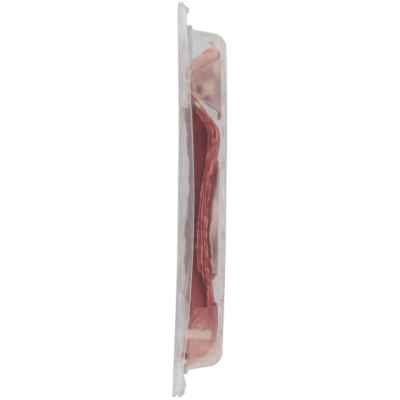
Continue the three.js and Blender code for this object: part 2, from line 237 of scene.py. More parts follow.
def add(tree, kind, inputs=None, **settings):
    """Adds a shader node, sets its options, and gives its inputs their values or links."""
    made = tree.nodes.new("ShaderNode" + kind)
    for setting, value in settings.items():
        setattr(made, setting, value)
    for key, value in (inputs or {}).items():
        if isinstance(value, bpy.types.NodeSocket):
            tree.links.new(value, made.inputs[key])
        else:
            made.inputs[key].default_value = value
    return made


def new_material(name):
    material = bpy.data.materials.new(name)
    material.use_nodes = True
    material.node_tree.nodes.clear()
    return material


def make_wave_group():
    """Slow waves that the heat leaves in a plastic sheet, as heights."""
    group = bpy.data.node_groups.new("sheet_waves", "ShaderNodeTree")
    group.interface.new_socket("Place", in_out="INPUT", socket_type="NodeSocketVector")
    group.interface.new_socket("Scale", in_out="INPUT", socket_type="NodeSocketFloat")
    group.interface.new_socket("Height", in_out="OUTPUT", socket_type="NodeSocketFloat")
    given = group.nodes.new("NodeGroupInput").outputs
    waves = add(group, "TexNoise", {"Vector": given["Place"], "Scale": given["Scale"], "Detail": 2.0})
    group.links.new(waves.outputs["Fac"], group.nodes.new("NodeGroupOutput").inputs["Height"])
    return group


# Most light goes straight through so thin a sheet, and the rest is bent and mirrored
STRAIGHT_THROUGH = 0.88
BEND = 1.35
CLEAR_CLOUD = 0.01
MILK = (0.85, 0.85, 0.85, 1.0)

wave_group = make_wave_group()


def clear_plastic(name, tint, roughness, wave_height, wave_scale):
    """Clear plastic with slow waves in its surface, cloudy by each point's share. Lamps shine through."""
    material = new_material(name)
    tree = material.node_tree
    place = add(tree, "TexCoord").outputs["Object"]
    waves = add(tree, "Group", {"Place": place, "Scale": wave_scale}, node_tree=wave_group)
    bump = add(tree, "Bump", {"Height": waves.outputs["Height"], "Strength": 0.4, "Distance": wave_height})
    body = add(tree, "BsdfPrincipled", {
        "Base Color": tint,
        "Roughness": roughness,
        "IOR": BEND,
        "Transmission Weight": 1.0,
        "Normal": bump.outputs["Normal"],
    })
    through = add(tree, "BsdfTransparent", {"Color": tint})
    shadow = add(tree, "LightPath").outputs["Is Shadow Ray"]
    straight = add(tree, "Math", {0: shadow, 1: STRAIGHT_THROUGH}, operation="MAXIMUM")
    mixed = add(tree, "MixShader", {
        "Fac": straight.outputs[0],
        1: body.outputs["BSDF"],
        2: through.outputs["BSDF"],
    })
    cloudy = add(tree, "Attribute", attribute_name="cloudy_share").outputs["Fac"]
    cloud = add(tree, "Math", {0: cloudy, 1: CLEAR_CLOUD}, operation="MAXIMUM")
    milk = add(tree, "BsdfDiffuse", {"Color": MILK})
    hazy = add(tree, "MixShader", {
        "Fac": cloud.outputs[0],
        1: mixed.outputs["Shader"],
        2: milk.outputs["BSDF"],
    })
    add(tree, "OutputMaterial", {"Surface": hazy.outputs["Shader"]})
    return material


# The cut edge of the sheet is rough from the knife and shows pale
EDGE_GREY = (0.55, 0.55, 0.55, 1.0)

cut_edge = new_material("cut_edge")
tree = cut_edge.node_tree
scratch = add(tree, "TexNoise", {"Vector": add(tree, "TexCoord").outputs["Object"], "Scale": 700.0})
edge_gloss = add(tree, "MapRange", {"Value": scratch.outputs["Fac"], "To Min": 0.4, "To Max": 0.6})
edge_body = add(tree, "BsdfPrincipled", {
    "Base Color": EDGE_GREY,
    "Roughness": edge_gloss.outputs["Result"],
})
add(tree, "OutputMaterial", {"Surface": edge_body.outputs["BSDF"]})


def dress_sheet(piece, edge_faces, plastic):
    """Gives a clear sheet its plastic, and its edge faces the rough grey of the cut."""
    piece.data.materials.append(plastic)
    piece.data.materials.append(cut_edge)
    slots = np.zeros(len(piece.data.polygons), dtype=np.int32)
    slots[-edge_faces:] = 1
    piece.data.polygons.foreach_set("material_index", slots)


flat, faces, border = rounded_fill(FOOT_CORNER, TRAY_STEP)
rise = rib_rise(*flat.T)
sheet = Sheet(flat, rise + end_lift(flat[:, 0]), faces, border, RIB_CLOUD * rise / RIB_HEIGHT)

# The line up the wall, from the base to the flange. Its first and last corners only set its directions.
profile = turned_line(
    np.array([
        [-foot_setback - 1, 0],
        [0, 0],
        [ledge_start, LEDGE_HEIGHT],
        [ledge_reach, LEDGE_HEIGHT],
        [ledge_reach - UNDERCUT, RIM_HEIGHT],
        [root_reach + 1, RIM_HEIGHT],
    ]),
    bends=[foot_setback, LEDGE_BEND, LEDGE_BEND, FLANGE_ROOT + UNDERCUT],
    steps=8,
    spacing=2.5,
)
for reach, height in profile:
    x, y = (sheet.anchor + (FOOT_CORNER + foot_setback + reach) * sheet.outward).T
    sheet.grow(x, y, height + end_lift(x), FOOT_CLOUD * (1 - smooth(*FOOT_CLEARS, height)))
sheet.grow_flange(lambda x, y: flange_hang(x, y) + peel_hang(x) + nub_hang(x, y))
points, faces, facts = sheet.made()
normals = sheet_normals(points, faces)
clear_tray = clear_plastic(
    "clear_tray",
    tint=(0.985, 0.985, 0.985, 1.0),
    roughness=0.05,
    wave_height=0.0004,
    wave_scale=60.0,
)
tray, edge_faces = closed_sheet("tray_shell", points, faces, normals, TRAY_SHEET, facts)
dress_sheet(tray, edge_faces, clear_tray)
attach(tray, "root")
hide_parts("tray")

# Slices
# Thin slices of cured meat, laid one on another in the tray. Each turns up along the walls as the tray does,
# drapes over the slices below, and has a frayed, uneven outline. The pile lies in a cradle, a surface just
# clear of the tray. A snug slice lies closer in the tray's corners than that, and sinks beside the ribs.
SLICE = 1.15
SLICE_GAP = 0.6
CRADLE_HEIGHT = 3.4
CRADLE_CROWN = 1.2
CRADLE_LEAN = math.radians(78)
CRADLE_REACH = np.array([103.0, 66.0])
CRADLE_CORNER = 22.0
PILE_SEAT = {"long": (88.0, 13.0), "across": (45.0, 20.0)}
SNUG_SEAT = {"long": (92.0, 8.5), "across": (54.0, 9.5)}
SNUG_PAST = (78.0, 94.0)
SINK = 2.0
SINK_PAST = {"end": (88.0, 92.5), "side": (48.0, 53.0)}
DRAPE = 8
RIPPLE = 0.025
RIPPLE_WAVES = 3
SKEW = 0.4
AIR = {"height": 5.0, "centre": -18.0, "half": 62.0}
BUNCH = {"height": 13.0, "start": 40.0, "end": 73.0}
CROWN = 14.0
SWING_FROM = -0.3
SWING_TO = -1.0
SLICE_STEPS = 71
PATTERN_APART = 40.0
PILE_HALF = 140.0

# Each slice lies a little off the last one and turned from it, and its waves start a step further on. Frills
# are heights with their number of waves round the outline. Ruffles are reaches with their turn in radians for
# each millimetre along the pack. Both keep to the edge, which is thinned here and there.
UNEVEN = {"shift": 1.4, "shift_step": 2.1, "turn": math.radians(2), "turn_step": 1.7}
FRILL = ((0.13, 11), (0.1, 29))
FRILL_POWER = 4
FRILL_STEP = 3
RUFFLE = ((0.5, 0.31), (0.35, 0.83), (0.2, 1.9))
RUFFLE_POWER = 8
RUFFLE_STEP = 5
THINNED = {"share": 0.45, "along": 0.6, "across": 0.4, "step": 2}

pile_place = np.arange(-PILE_HALF, PILE_HALF + 1)
layers = np.zeros_like(pile_place)
laid = {"marbled": 0, "dark": 0, "rimmed": 0}


def upturn(length, flat, radius):
    """Run and rise of a line that lies flat, bends up and then leans on a wall, at lengths along it."""
    size = np.abs(length)
    angle = np.clip((size - flat) / radius, 0, CRADLE_LEAN)
    straight = np.maximum(0, size - flat - radius * CRADLE_LEAN)
    run = np.minimum(size, flat) + radius * np.sin(angle) + straight * np.cos(angle)
    return np.sign(length) * run, radius * (1 - np.cos(angle)) + straight * np.sin(angle)


def seat_between(side, share):
    """Length of the flat and radius of the bend of a seat between the pile's and the snug one."""
    return [pile + (snug - pile) * share for pile, snug in zip(PILE_SEAT[side], SNUG_SEAT[side])]


def sink_at(along, across):
    """How far a snug slice sinks, past the last rib and beside the ends of the ribs."""
    past_ribs = smooth(*SINK_PAST["end"], np.abs(along))
    return SINK * np.maximum(past_ribs, smooth(*SINK_PAST["side"], np.abs(across)))


def cradle(along, across, snug):
    """Where a point of the cradle lies in the tray, given by its lengths along and across the cradle."""
    share = snug * smooth(*SNUG_PAST, np.abs(along))
    x, long_rise = upturn(along, *seat_between("long", share))
    y, wide_rise = upturn(across, *seat_between("across", share))
    corner_x = np.maximum(0, np.abs(x) - CRADLE_REACH[0] + CRADLE_CORNER) / CRADLE_CORNER
    corner_y = np.maximum(0, np.abs(y) - CRADLE_REACH[1] + CRADLE_CORNER) / CRADLE_CORNER
    x = x - np.sign(along) * CRADLE_CORNER * corner_x * (1 - np.sqrt(1 - corner_y**2 / 2))
    y = y - np.sign(across) * CRADLE_CORNER * corner_y * (1 - np.sqrt(1 - corner_x**2 / 2))
    rise = np.cbrt(long_rise**3 + wide_rise**3)
    inward = 1 - np.minimum(1, np.abs(across) / PILE_SEAT["across"][0])
    crown = CRADLE_CROWN * np.sin(inward * math.pi / 2) ** 2
    floor_height = CRADLE_HEIGHT + crown - share * sink_at(along, across)
    return np.stack([x, y, floor_height + rise + end_lift(x)], axis=-1)


def cradle_normal(along, across, snug):
    step = SLICE / 2
    long = cradle(along + step, across, snug) - cradle(along - step, across, snug)
    wide = cradle(along, across + step, snug) - cradle(along, across - step, snug)
    normal = np.cross(long, wide)
    return normal / np.linalg.norm(normal, axis=-1)[..., None]


def rest_line(along, bunched):
    """The pile arches off the base in its middle, and dark slices lie on the bunched-up marbled ones."""
    share = np.minimum(1, np.abs(along - AIR["centre"]) / AIR["half"])
    arch = AIR["height"] * np.cos(share * math.pi / 2) ** 2
    return arch + bunched * BUNCH["height"] * smooth(BUNCH["start"], BUNCH["end"], along)


def drape_over(heights):
    """A slice bridges the steps in the layers below it."""
    return np.array([np.mean(heights[max(0, i - DRAPE):i + DRAPE + 1]) for i in range(len(heights))])


def lay_slice(sort, material, ends, near, far, round_off, swing=0.0, swing_from=SWING_FROM, turned=None,
              crowned=False, snug=False, fat_and_highlight_reach=None):
    """Lays one slice on the pile and makes it a piece that stands for the solid of its name. It is given by
    its two ends along the pack, its near and far edges and how round it is. Its near edge may swing out or in
    towards the -X end, and a crowned slice lies down at its edges while its middle stays up. Where its fat
    isn't a rim all round, fat_and_highlight_reach gives the distance from the fat, and from any painted
    highlight drawn in the rim colour."""
    number = sum(laid.values())
    laid[sort] += 1
    name = f"{sort}_slice_{laid[sort]}"
    level = drape_over(layers)
    start, end = ends
    half = (near + far) / 2
    shift = (far - near) / 2 + UNEVEN["shift"] * math.sin(UNEVEN["shift_step"] * number)
    turn = UNEVEN["turn"] * math.sin(UNEVEN["turn_step"] * number)
    if turned is not None:
        turn = math.radians(turned)
    steps = np.linspace(-1, 1, SLICE_STEPS)
    endwards = np.tile(steps, SLICE_STEPS)
    sidewards = np.repeat(steps, SLICE_STEPS)
    angle = np.arctan2(sidewards, endwards)
    outward = np.maximum(np.abs(endwards), np.abs(sidewards))
    ripple = 1 + RIPPLE * outward * np.sin(RIPPLE_WAVES * angle + number)
    long = (end - start) / 2 * ripple * endwards * np.sqrt(1 - round_off * sidewards**2)
    wide = half * ripple * sidewards * np.sqrt(1 - round_off * endwards**2)
    along = (start + end) / 2 + long * math.cos(turn) - wide * math.sin(turn) * SKEW
    swung = swing * np.maximum(0, -sidewards) ** 2 * smooth(swing_from, SWING_TO, endwards)
    across = shift + wide * math.cos(turn) + long * math.sin(turn) - swung
    edge = outward**RUFFLE_POWER
    for ruffle, waves in RUFFLE:
        across = across + ruffle * edge * np.sin(waves * along + RUFFLE_STEP * number)
    height = rest_line(along, sort == "dark") + np.interp(along, pile_place, level)
    if crowned:
        height *= smooth(half, half - CROWN, np.abs(across))
    for frill, waves in FRILL:
        height += frill * outward**FRILL_POWER * np.sin(waves * angle + FRILL_STEP * number)
    thin_waves = THINNED["along"] * along + THINNED["across"] * across + THINNED["step"] * number
    thickness = SLICE * (1 - THINNED["share"] * edge * np.sin(thin_waves) ** 2)
    normals = cradle_normal(along, across, snug)
    points = cradle(along, across, snug) + normals * height[:, None]
    at = np.arange(len(points)).reshape(SLICE_STEPS, SLICE_STEPS)
    faces = np.stack([at[:-1, :-1], at[:-1, 1:], at[1:, 1:], at[1:, :-1]], axis=-1).reshape(-1, 4)
    plane = np.stack([long, wide, np.full_like(long, PATTERN_APART * number)], axis=-1)
    rim = np.minimum((1 - np.abs(endwards)) * (end - start) / 2, (1 - np.abs(sidewards)) * half)
    if fat_and_highlight_reach:
        rim = fat_and_highlight_reach(*points.T)
    facts = {
        "meat_place": np.concatenate([plane, plane + (0.0, 0.0, SLICE)]),
        "rim_distance": np.concatenate([rim, rim]),
    }
    piece, _ = closed_sheet(name + "_meat", points, faces, normals, thickness[:, None], facts)
    piece.data.materials.append(material)
    covered = (pile_place > start - DRAPE) & (pile_place < end + DRAPE)
    layers[covered] = level[covered] + SLICE + SLICE_GAP
    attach(piece, "root")
    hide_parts(name)


# Meat
# Cured meat seen close: lean with fine fibres and darker patches, veins and flecks of fat that run right
# through the slice, and a rim of fat whose width wanders along the outline.
PATTERN_PUSH = (14.0, 14.0, 0.0)
FIBRE_STRETCH = (0.35, 2.2, 1.6)
STREAK_STRETCH = (0.2, 0.1, 0.7)
VEIN_MIDDLE = 0.5
FLECK_EDGE = 0.72
GAP_FADE = 0.12
FIBRE_SHARE = 0.4


def make_meat_group():
    """Fibres and patches of the lean as values, and the fat and the rim of fat as masks."""
    group = bpy.data.node_groups.new("cured_meat", "ShaderNodeTree")
    for name, kind in [
        ("Place", "NodeSocketVector"),
        ("Rim Distance", "NodeSocketFloat"),
        ("Patch Scale", "NodeSocketFloat"),
        ("Fat Scale", "NodeSocketFloat"),
        ("Vein Width", "NodeSocketFloat"),
        ("Fat Share", "NodeSocketFloat"),
        ("Fat Softness", "NodeSocketFloat"),
        ("Rim Width", "NodeSocketFloat"),
        ("Rim Gaps", "NodeSocketFloat"),
    ]:
        group.interface.new_socket(name, in_out="INPUT", socket_type=kind)
    for name in ["Fibre", "Patch", "Fat", "Rim"]:
        group.interface.new_socket(name, in_out="OUTPUT", socket_type="NodeSocketFloat")
    given = group.nodes.new("NodeGroupInput").outputs
    bend = add(group, "TexNoise", {"Vector": given["Place"], "Scale": 0.09, "Detail": 3.0})
    push = add(group, "VectorMath", {0: bend.outputs["Color"], 1: PATTERN_PUSH}, operation="MULTIPLY")
    bent = add(group, "VectorMath", {0: given["Place"], 1: push.outputs[0]}).outputs[0]
    fibre_place = add(group, "VectorMath", {0: bent, 1: FIBRE_STRETCH}, operation="MULTIPLY")
    fibre = add(group, "TexNoise", {"Vector": fibre_place.outputs[0], "Scale": 0.5, "Detail": 5.0})
    patch = add(group, "TexNoise", {"Vector": bent, "Scale": given["Patch Scale"], "Detail": 3.0})
    cloud = add(group, "TexNoise", {
        "Vector": bent,
        "Scale": given["Fat Scale"],
        "Detail": 4.0,
        "Roughness": 0.6,
    })
    middle = add(group, "Math", {0: cloud.outputs["Fac"], 1: VEIN_MIDDLE}, operation="SUBTRACT")
    away = add(group, "Math", {0: middle.outputs[0]}, operation="ABSOLUTE")
    veins = add(group, "MapRange", {
        "Value": away.outputs[0],
        "From Min": given["Vein Width"],
        "From Max": 0.0,
    }, interpolation_type="SMOOTHSTEP")
    fleck_edge = add(group, "Math", {0: FLECK_EDGE, 1: given["Fat Share"]}, operation="SUBTRACT")
    fleck_full = add(group, "Math", {0: fleck_edge.outputs[0], 1: given["Fat Softness"]})
    flecks = add(group, "MapRange", {
        "Value": cloud.outputs["Fac"],
        "From Min": fleck_edge.outputs[0],
        "From Max": fleck_full.outputs[0],
    }, interpolation_type="SMOOTHSTEP")
    fat = add(group, "Math", {0: veins.outputs["Result"], 1: flecks.outputs["Result"]}, operation="MAXIMUM")
    wander = add(group, "TexNoise", {"Vector": given["Place"], "Scale": 0.16, "Detail": 3.0})
    wide = add(group, "MapRange", {
        "Value": wander.outputs["Fac"],
        "From Min": 0.3,
        "From Max": 0.7,
        "To Min": 0.3,
        "To Max": 1.8,
    })
    width = add(group, "Math", {0: wide.outputs["Result"], 1: given["Rim Width"]}, operation="MULTIPLY")
    whole_rim = add(group, "MapRange", {
        "Value": given["Rim Distance"],
        "From Min": width.outputs[0],
        "From Max": 0.0,
    }, interpolation_type="SMOOTHSTEP")
    streak_place = add(group, "VectorMath", {0: given["Place"], 1: STREAK_STRETCH}, operation="MULTIPLY")
    streak = add(group, "TexNoise", {"Vector": streak_place.outputs[0], "Scale": 1.0, "Detail": 4.0})
    gap_end = add(group, "Math", {0: given["Rim Gaps"], 1: GAP_FADE})
    kept = add(group, "MapRange", {
        "Value": streak.outputs["Fac"],
        "From Min": given["Rim Gaps"],
        "From Max": gap_end.outputs[0],
    }, interpolation_type="SMOOTHSTEP")
    rim = add(group, "Math", {
        0: whole_rim.outputs["Result"],
        1: kept.outputs["Result"],
    }, operation="MULTIPLY")
    ends = group.nodes.new("NodeGroupOutput").inputs
    for name, socket in [
        ("Fibre", fibre.outputs["Fac"]),
        ("Patch", patch.outputs["Fac"]),
        ("Fat", fat.outputs[0]),
        ("Rim", rim.outputs[0]),
    ]:
        group.links.new(socket, ends[name])
    return group


def make_spot_group():
    """A soft-edged spot with a wandering outline."""
    group = bpy.data.node_groups.new("soft_spot", "ShaderNodeTree")
    for name in ["Place", "Centre", "Half"]:
        group.interface.new_socket(name, in_out="INPUT", socket_type="NodeSocketVector")
    group.interface.new_socket("Mask", in_out="OUTPUT", socket_type="NodeSocketFloat")
    given = group.nodes.new("NodeGroupInput").outputs
    offset = add(group, "VectorMath", {0: given["Place"], 1: given["Centre"]}, operation="SUBTRACT")
    share = add(group, "VectorMath", {0: offset.outputs[0], 1: given["Half"]}, operation="DIVIDE")
    length = add(group, "VectorMath", {0: share.outputs[0]}, operation="LENGTH")
    wander = add(group, "TexNoise", {"Vector": given["Place"], "Scale": 260.0, "Detail": 2.0})
    uneven = add(group, "Math", {0: length.outputs["Value"], 1: wander.outputs["Fac"]})
    mask = add(group, "MapRange", {
        "Value": uneven.outputs[0],
        "From Min": 2.0,
        "From Max": 0.4,
    }, interpolation_type="SMOOTHSTEP")
    group.links.new(mask.outputs["Result"], group.nodes.new("NodeGroupOutput").inputs["Mask"])
    return group


def mixed_value(tree, share, first, second):
    """A value between two, by a share from 0 to 1. Inputs 2 and 3 of the node are its values."""
    return add(tree, "Mix", {"Factor": share, 2: first, 3: second}).outputs[0]


def mixed_colour(tree, share, first, second):
    """A colour between two, by a share from 0 to 1. Inputs 6 and 7 of the node are its colours."""
    return add(tree, "Mix", {"Factor": share, 6: first, 7: second}, data_type="RGBA").outputs[2]


meat_group = make_meat_group()
spot_group = make_spot_group()

# Spots lie on the near faces, at this middle and half depth across the pack
SPOT_MIDDLE = -60.0
SPOT_HALF = 40.0

# Painted fill light: each meat glows with this share of its own colour, which lifts its shade in crevices
PAINTED_FILL_GLOW = 0.3


def meat_material(name, lean, fat, rim, deep=None, deepens=(0.0, 1.0), spots=(), **pattern):
    """Cured meat of one sort: its two lean colours, the colours of its fat and its rim, and how the fat lies.
    The lean may turn to two deeper colours between two places along the pack, and may have spots on its
    near face, each given by its place and half size along and up the pack and its colour."""
    material = new_material(name)
    tree = material.node_tree
    place = add(tree, "TexCoord").outputs["Object"]
    meat = add(tree, "Group", {
        "Place": add(tree, "Attribute", attribute_name="meat_place").outputs["Vector"],
        "Rim Distance": add(tree, "Attribute", attribute_name="rim_distance").outputs["Fac"],
        **{key.replace("_", " ").title(): value for key, value in pattern.items()},
    }, node_tree=meat_group)
    patch = add(tree, "MapRange", {"Value": meat.outputs["Patch"], "From Min": 0.35, "From Max": 0.65})
    fibre = add(tree, "MapRange", {"Value": meat.outputs["Fibre"], "From Min": 0.3, "From Max": 0.7})
    tone = mixed_value(tree, FIBRE_SHARE, patch.outputs["Result"], fibre.outputs["Result"])
    body = mixed_colour(tree, tone, *lean)
    if deep:
        share = add(tree, "MapRange", {
            "Value": add(tree, "SeparateXYZ", {"Vector": place}).outputs["X"],
            "From Min": deepens[0] * MM,
            "From Max": deepens[1] * MM,
        }, interpolation_type="SMOOTHSTEP")
        body = mixed_colour(tree, share.outputs["Result"], body, mixed_colour(tree, tone, *deep))
    body = mixed_colour(tree, meat.outputs["Fat"], body, fat)
    for along, up, half_along, half_up, shade in spots:
        spot = add(tree, "Group", {
            "Place": place,
            "Centre": (along * MM, SPOT_MIDDLE * MM, up * MM),
            "Half": (half_along * MM, SPOT_HALF * MM, half_up * MM),
        }, node_tree=spot_group)
        body = mixed_colour(tree, spot.outputs["Mask"], body, shade)
    body = mixed_colour(tree, meat.outputs["Rim"], body, rim)
    gloss = add(tree, "MapRange", {"Value": meat.outputs["Fibre"], "To Min": 0.45, "To Max": 0.7})
    bump = add(tree, "Bump", {"Height": meat.outputs["Fibre"], "Strength": 0.35, "Distance": 0.0003})
    surface = add(tree, "BsdfPrincipled", {
        "Base Color": body,
        "Roughness": gloss.outputs["Result"],
        "Normal": bump.outputs["Normal"],
        "Specular IOR Level": 0.12,
        # Painted fill light: the meat glows in its own colour to lift its shade
        "Emission Color": body,
        "Emission Strength": PAINTED_FILL_GLOW,
    })
    add(tree, "OutputMaterial", {"Surface": surface.outputs["BSDF"]})
    return material


# End slice
# A red slice laid first, pushed into the tray's corners at the -X end and turned up against the near wall.
# Whitish fat fills its lower corner there, and a painted highlight runs up its near face as a band in its rim
# colour.
LEAN_EDGE = {"x": -80.0, "z": 24.0, "half_x": 23.0, "half_z": 20.7, "power": 1.6, "beyond": 4.0}
# Painted highlight: a pale band up the end slice's near face, drawn in the colour of its fat rim
HIGHLIGHT_BAND = {"x": -82.2, "half": 1.3, "foot": 9.0}


def end_fat_and_highlight_reach(x, y, z):
    """Distance into the lean from the fat and from the painted highlight band, in millimetres."""
    left = np.maximum(0, LEAN_EDGE["x"] - x) / LEAN_EDGE["half_x"]
    down = np.maximum(0, LEAN_EDGE["z"] - z) / LEAN_EDGE["half_z"]
    power = LEAN_EDGE["power"]
    beyond = np.maximum(0, x - LEAN_EDGE["x"])
    from_corner = LEAN_EDGE["half_z"] * (1 - (left**power + down**power) ** (1 / power))
    from_corner = from_corner + LEAN_EDGE["beyond"] * beyond
    # Distance from the painted highlight band, which is drawn in the rim colour up the near face
    from_highlight = np.maximum(0, np.abs(x - HIGHLIGHT_BAND["x"]) - HIGHLIGHT_BAND["half"])
    return np.minimum(from_corner, from_highlight + np.maximum(0, HIGHLIGHT_BAND["foot"] - z))


def colour(red, green, blue):
    """Linear values of a colour given as it shows on a screen, each part from 0 to 1."""
    parts = np.array([red, green, blue])
    linear = np.where(parts > 0.04045, ((parts + 0.055) / 1.055) ** 2.4, parts / 12.92)
    return (*linear.tolist(), 1.0)


rimmed_meat = meat_material(
    "rimmed_meat",
    lean=(colour(0.58, 0.39, 0.37), colour(0.7, 0.55, 0.52)),
    deep=(colour(0.46, 0.22, 0.23), colour(0.6, 0.34, 0.34)),
    deepens=(-92.0, -66.0),
    fat=colour(0.7, 0.52, 0.49),
    rim=colour(0.69, 0.6, 0.57),
    spots=[(-95.2, 24.0, 2.4, 2.4, colour(0.34, 0.1, 0.12))],
    patch_scale=0.09,
    fat_scale=0.09,
    vein_width=0.012,
    fat_share=0.06,
    fat_softness=0.16,
    rim_width=2.4,
    rim_gaps=0.0,
)
lay_slice("rimmed", rimmed_meat, (-119.0, -63.0), near=77.0, far=44.0, round_off=0.18,
          swing=9.0, swing_from=0.6, snug=True, fat_and_highlight_reach=end_fat_and_highlight_reach)

# Marbled slices
# A pale slice that lies on the base under the dark ones, and three pale pink slices at the +X end, with beige
# fat clouded through the lean. Those three are turned up against the near wall.
marbled_meat = meat_material(
    "marbled_meat",
    lean=(colour(0.53, 0.4, 0.4), colour(0.65, 0.53, 0.51)),
    deep=(colour(0.64, 0.49, 0.47), colour(0.75, 0.64, 0.61)),
    deepens=(78.0, 90.0),
    fat=colour(0.68, 0.62, 0.56),
    rim=colour(0.7, 0.56, 0.53),
    spots=[
        (68.5, 10.5, 5.5, 4.0, colour(0.66, 0.61, 0.55)),
        (58.0, 7.5, 5.0, 3.0, colour(0.6, 0.54, 0.5)),
        (80.0, 7.0, 4.0, 2.5, colour(0.72, 0.66, 0.61)),
        (75.0, 15.0, 4.0, 5.0, colour(0.56, 0.42, 0.43)),
        (62.0, 13.0, 2.2, 3.4, colour(0.43, 0.25, 0.26)),
        (67.0, 17.5, 4.0, 2.6, colour(0.42, 0.24, 0.25)),
        (91.0, 14.0, 2.5, 5.0, colour(0.66, 0.47, 0.43)),
        (64.0, 23.5, 10.0, 2.6, colour(0.46, 0.25, 0.26)),
    ],
    patch_scale=0.08,
    fat_scale=0.07,
    vein_width=0.0,
    fat_share=0.24,
    fat_softness=0.16,
    rim_width=1.2,
    rim_gaps=0.0,
)
pale_meat = meat_material(
    "pale_meat",
    lean=(colour(0.52, 0.39, 0.39), colour(0.68, 0.59, 0.57)),
    fat=colour(0.71, 0.63, 0.58),
    rim=colour(0.62, 0.52, 0.5),
    spots=[
        (-32.0, 7.5, 9.0, 4.0, colour(0.47, 0.34, 0.34)),
        (-8.0, 7.0, 12.0, 4.0, colour(0.7, 0.63, 0.57)),
        (17.0, 6.0, 8.0, 3.0, colour(0.48, 0.36, 0.36)),
    ],
    patch_scale=0.06,
    fat_scale=0.06,
    vein_width=0.0,
    fat_share=0.24,
    fat_softness=0.16,
    rim_width=1.2,
    rim_gaps=0.3,
)
lay_slice("marbled", pale_meat, (-50.0, 24.0), near=60.5, far=47.0, round_off=0.25, swing=3.0, crowned=True)
lay_slice("marbled", marbled_meat, (49.0, 92.0), near=77.0, far=76.0, round_off=0.46,
          swing=-10.0, swing_from=0.2, turned=-3.0)
lay_slice("marbled", marbled_meat, (56.0, 100.0), near=77.0, far=76.0, round_off=0.36)
lay_slice("marbled", marbled_meat, (60.0, 93.0), near=74.0, far=75.0, round_off=0.44)

# Dark slices
# Dark red slices in the middle, raised at their +X end over the marbled ones and arched off the base over a
# pocket of air. Their edges show one over another, with thin broken pale lines along them. The last one
# reaches up the near wall, so that its face shows above the others, in a darker copy of their meat with
# painted shade.
dark_meat = meat_material(
    "dark_meat",
    lean=(colour(0.45, 0.14, 0.17), colour(0.66, 0.31, 0.32)),
    fat=colour(0.72, 0.46, 0.44),
    rim=colour(0.74, 0.5, 0.48),
    patch_scale=0.15,
    fat_scale=0.16,
    vein_width=0.012,
    fat_share=0.12,
    fat_softness=0.14,
    rim_width=0.9,
    rim_gaps=0.5,
)
# Painted shade: the last slice's face is a darker copy of the dark meat, deepening further from X -64 to -34,
# for the shade it lies in under the lip
shaded_dark_face = meat_material(
    "shaded_dark_face",
    lean=(colour(0.45, 0.18, 0.2), colour(0.57, 0.28, 0.29)),
    deep=(colour(0.29, 0.09, 0.12), colour(0.42, 0.16, 0.18)),
    deepens=(-64.0, -34.0),
    spots=[(53.0, 27.5, 13.0, 2.2, colour(0.66, 0.57, 0.57))],
    fat=colour(0.52, 0.26, 0.27),
    rim=colour(0.5, 0.26, 0.27),
    patch_scale=0.05,
    fat_scale=0.06,
    vein_width=0.012,
    fat_share=0.04,
    fat_softness=0.2,
    rim_width=0.9,
    rim_gaps=0.5,
)
lay_slice("dark", dark_meat, (-82.0, 68.0), near=53.0, far=73.0, round_off=0.06, swing=6.0)
lay_slice("dark", dark_meat, (-58.0, 65.0), near=53.0, far=74.0, round_off=0.1, swing=6.0)
lay_slice("dark", dark_meat, (-52.0, 61.0), near=54.0, far=73.0, round_off=0.1, swing=6.0)
lay_slice("dark", dark_meat, (-46.0, 57.0), near=53.0, far=72.0, round_off=0.1, swing=6.0)
lay_slice("dark", shaded_dark_face, (-76.0, 58.0), near=74.0, far=73.0, round_off=0.03, turned=-3.0)

# Rimmed slices
# Red slices of the same meat as the end slice, each with a pale rim of fat. They are laid last, at the -X
# end, and turn up along the walls inside the others.
lay_slice("rimmed", rimmed_meat, (-104.0, -26.0), near=73.0, far=74.0, round_off=0.2)
lay_slice("rimmed", rimmed_meat, (-97.0, -34.0), near=73.0, far=72.0, round_off=0.2)
lay_slice("rimmed", rimmed_meat, (-90.0, -44.0), near=74.0, far=71.0, round_off=0.2)

# Seed
# One yellow spice seed, longer than it is wide, darkened round its edge by a painted contact shadow. It
# sticks to the edges of the dark slices where they rise at their +X end.
SEED = {"place": (58.2, -49.5, 18.0), "half": (2.7, 1.1, 1.3), "tilt": math.radians(40)}
SEED_STEPS = 32

round_steps = np.arange(2 * SEED_STEPS) * math.pi / SEED_STEPS
turns, climb = np.meshgrid(round_steps, np.linspace(0, math.pi, SEED_STEPS + 1))
ball = np.stack([np.cos(turns) * np.sin(climb), np.sin(turns) * np.sin(climb), np.cos(climb)], axis=-1)
lean_up = Matrix.Rotation(-SEED["tilt"], 3, "Y")
seed_points = ball.reshape(-1, 3) * SEED["half"] @ np.array(lean_up).T + SEED["place"]
at = np.arange(len(seed_points)).reshape(turns.shape)
after = np.roll(at, -1, axis=1)
seed_faces = np.stack([at[:-1], at[1:], after[1:], after[:-1]], axis=-1).reshape(-1, 4)
seed_mesh = bpy.data.meshes.new("spice_seed")
seed_mesh.from_pydata(seed_points * MM, [], seed_faces.tolist())
seed_mesh.shade_smooth()
seed = bpy.data.objects.new("spice_seed", seed_mesh)
bpy.context.scene.collection.objects.link(seed)
seed_skin = new_material("seed_skin")
tree = seed_skin.node_tree
place = add(tree, "TexCoord").outputs["Object"]
speckle = add(tree, "TexNoise", {"Vector": place, "Scale": 900.0, "Detail": 3.0})
tone = mixed_colour(tree, speckle.outputs["Fac"], colour(0.84, 0.74, 0.46), colour(0.96, 0.9, 0.66))
